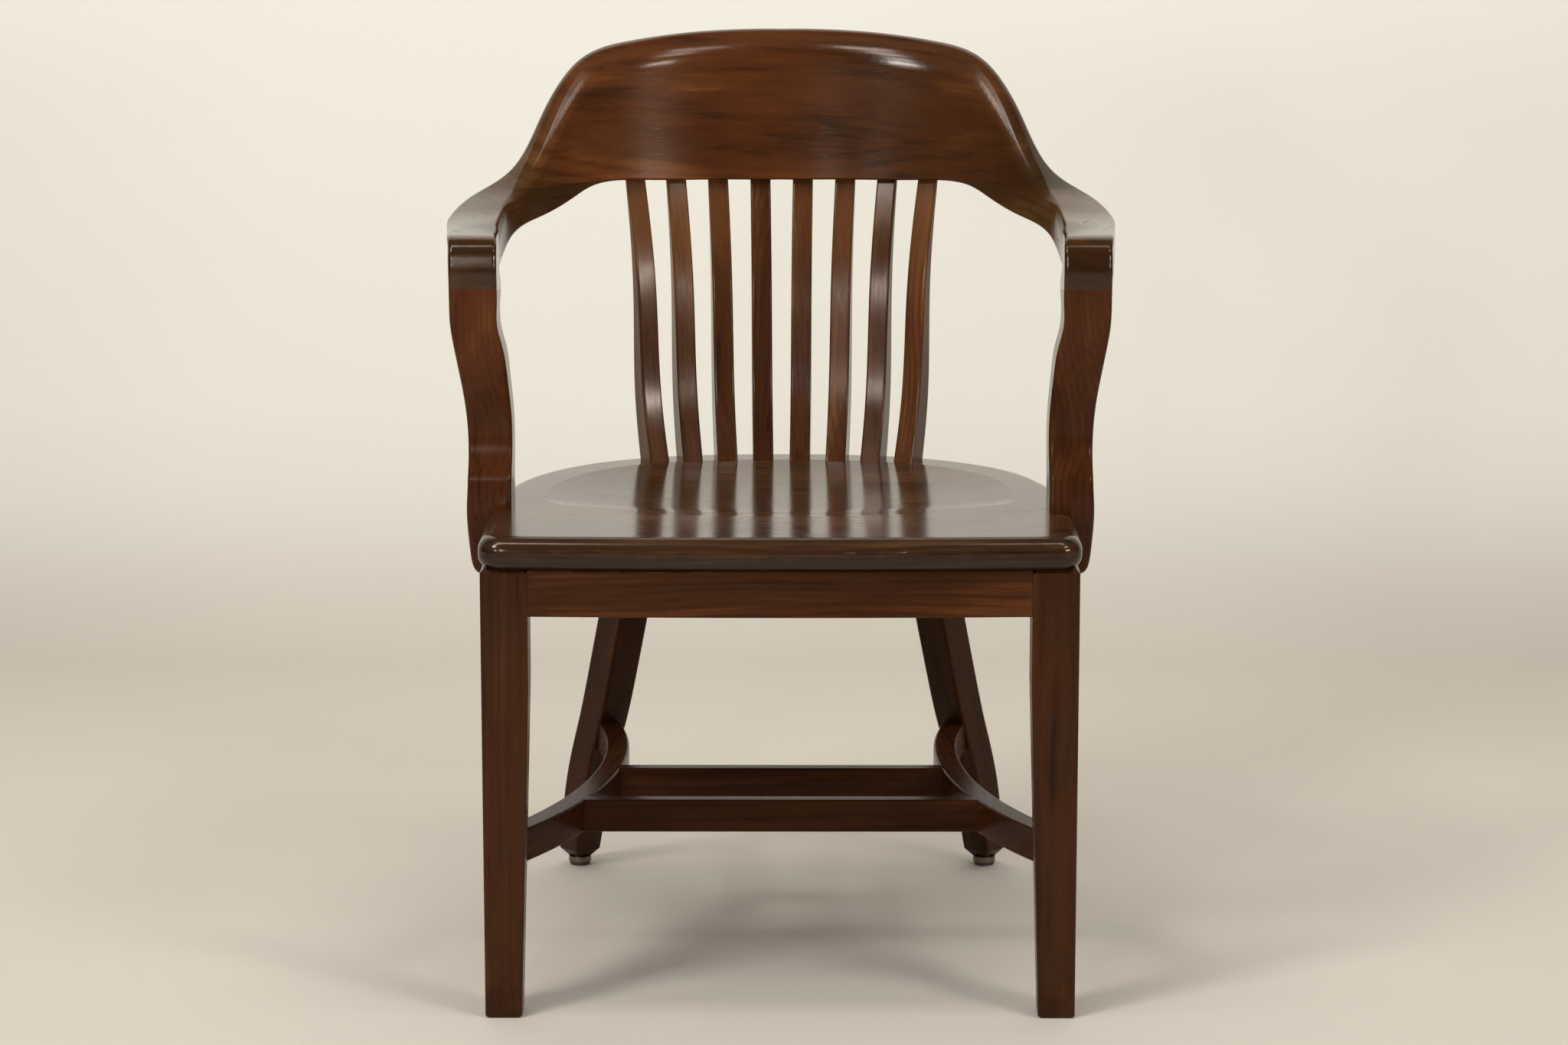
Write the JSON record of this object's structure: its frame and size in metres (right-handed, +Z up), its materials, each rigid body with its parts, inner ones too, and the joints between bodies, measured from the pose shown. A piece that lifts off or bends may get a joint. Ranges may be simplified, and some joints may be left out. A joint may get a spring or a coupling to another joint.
{
  "type": "armchair",
  "caption": "Wooden armchair with a bent crest flowing into the arms, a slatted back, a saddled seat, square tapered front legs, splayed rear legs and bowed stretchers.",
  "frame": {"origin": "on the floor, under the middle of the chair's bounding box", "axes": "+Z up, -Y the way the sitter faces, +Y towards the back, X across the chair"},
  "size_m": [0.628, 0.5745, 0.8642],
  "materials": {
    "walnut_hoop": "clear satin lacquer on walnut, polished by use",
    "walnut_slats": "clear satin lacquer on walnut",
    "walnut_seat": "clear gloss lacquer on walnut",
    "walnut_frame": "clear satin lacquer on walnut",
    "hidden_hardwood": "bare hardwood",
    "screw_steel": "plain wood screws",
    "glide_metal": "dulled plated steel",
    "glide_cushion": "dark hard rubber"
  },
  "bodies": {
    "root": {"arm_left": "walnut_hoop", "arm_post_dowels": "hidden_hardwood", "arm_post_left": "walnut_hoop", "arm_post_right": "walnut_hoop", "arm_right": "walnut_hoop", "corner_block_screws": "screw_steel", "corner_blocks": "hidden_hardwood", "crest_dowels": "hidden_hardwood", "crest_rail": "walnut_hoop", "cross_stretcher_front": "walnut_frame", "cross_stretcher_rear": "walnut_frame", "front_leg_left": "walnut_frame", "front_leg_right": "walnut_frame", "front_rail": "walnut_frame", "post_screws": "screw_steel", "rail_dowels": "hidden_hardwood", "rear_glide_cups": "glide_metal", "rear_glide_cushions": "glide_cushion", "rear_glide_nails": "glide_metal", "rear_leg_left": "walnut_frame", "rear_leg_right": "walnut_frame", "rear_rail": "walnut_frame", "seat_board_1": "walnut_seat", "seat_board_2": "walnut_seat", "seat_board_3": "walnut_seat", "seat_board_4": "walnut_seat", "seat_board_5": "walnut_seat", "seat_board_dowels": "hidden_hardwood", "seat_screws": "screw_steel", "side_rail_left": "walnut_frame", "side_rail_right": "walnut_frame", "side_stretcher_left": "walnut_frame", "side_stretcher_right": "walnut_frame", "slat_1": "walnut_slats", "slat_2": "walnut_slats", "slat_3": "walnut_slats", "slat_4": "walnut_slats", "slat_5": "walnut_slats", "slat_6": "walnut_slats", "slat_7": "walnut_slats", "slat_8": "walnut_slats"}
  },
  "joints": []
}
